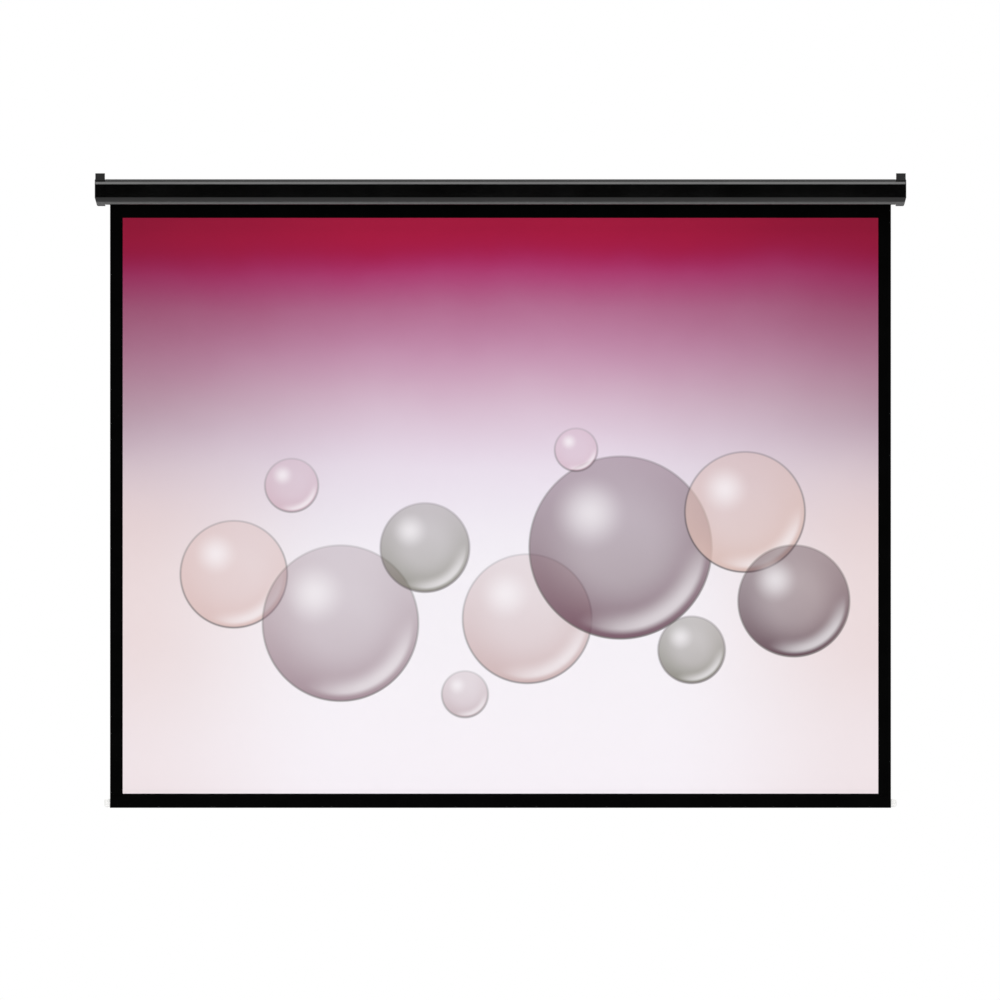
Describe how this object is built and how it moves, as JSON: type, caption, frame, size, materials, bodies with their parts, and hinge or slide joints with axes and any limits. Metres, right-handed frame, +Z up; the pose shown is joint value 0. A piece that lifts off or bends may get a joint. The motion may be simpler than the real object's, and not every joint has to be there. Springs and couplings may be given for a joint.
{
  "type": "pull-down projection screen",
  "caption": "Wall-hung projection screen: black-bordered white fabric drawn from a slim spring-roller case by a weighted bottom bar.",
  "frame": {"origin": "on the wall plane, on the case's flat back, level with the roller's axis and midway along it", "axes": "+X along the case, to the right as a viewer faces the screen; +Y into the wall; +Z up"},
  "size_m": [1.826, 0.06, 1.4278],
  "materials": {
    "case_paint": "smooth semi-gloss black",
    "black_plastic": "satin moulded black",
    "strap_paint": "matte dark grey",
    "nylon": "natural nylon",
    "zinc_steel": "bright zinc plate",
    "spring_steel": "oiled spring wire",
    "mill_aluminium": "mill finish",
    "black_fabric": "matte black coated cloth",
    "white_fabric": "matte white coated cloth",
    "white_plastic": "satin white"
  },
  "bodies": {
    "housing": {"case_shell": "case_paint", "end_cap_left": "black_plastic", "hanger_left": "strap_paint", "end_cap_right": "black_plastic", "hanger_right": "strap_paint", "cap_screw_left_1": "zinc_steel", "cap_screw_left_2": "zinc_steel", "cap_screw_left_3": "zinc_steel", "cap_screw_left_4": "zinc_steel", "wall_flange_screw_left": "zinc_steel", "foot_screw_left": "zinc_steel", "cap_screw_right_1": "zinc_steel", "cap_screw_right_2": "zinc_steel", "cap_screw_right_3": "zinc_steel", "cap_screw_right_4": "zinc_steel", "wall_flange_screw_right": "zinc_steel", "foot_screw_right": "zinc_steel", "spear_shaft": "zinc_steel", "ratchet_wheel": "zinc_steel", "spear_bush": "nylon", "spring_collar": "black_plastic", "torsion_spring": "spring_steel", "idler_bush": "nylon", "idler_washer": "zinc_steel", "black_mask": "black_fabric", "white_fabric": "white_fabric", "black_backing": "black_fabric"},
    "roller": {"roller_tube": "mill_aluminium", "head_plug": "black_plastic", "spring_plug": "nylon", "idler_plug": "black_plastic", "idler_pin": "zinc_steel", "fabric_wraps": "black_fabric"},
    "pawl_upper": {"pawl_upper": "zinc_steel"},
    "pawl_lower": {"pawl_lower": "zinc_steel"},
    "weight_bar": {"bottom_bar": "mill_aluminium", "hem_pocket": "black_fabric", "bar_cap_left": "white_plastic", "bar_cap_right": "white_plastic"}
  },
  "joints": [
    {"name": "screen_travel", "type": "slide", "parent": "housing", "child": "weight_bar", "axis": [0, 0, 1], "range_m": [0, 1.324], "deforming": ["black_mask", "white_fabric", "black_backing"]},
    {"name": "roller_spin", "type": "hinge", "parent": "housing", "child": "roller", "pos_m": [0, -0.03304, 0], "axis": [1, 0, 0], "range_deg": [0, 3781], "deforming": ["torsion_spring"]},
    {"name": "pawl_upper_swing", "type": "hinge", "parent": "roller", "child": "pawl_upper", "pos_m": [-0.8888, -0.02691, 0.01314], "axis": [1, 0, 0], "range_deg": [0, 16]},
    {"name": "pawl_lower_swing", "type": "hinge", "parent": "roller", "child": "pawl_lower", "pos_m": [-0.8888, -0.03917, -0.01314], "axis": [1, 0, 0], "range_deg": [0, 16]}
  ],
  "couplings": [
    {"joint": "roller_spin", "follows": "screen_travel", "rad_per_m": 49.829}
  ]
}
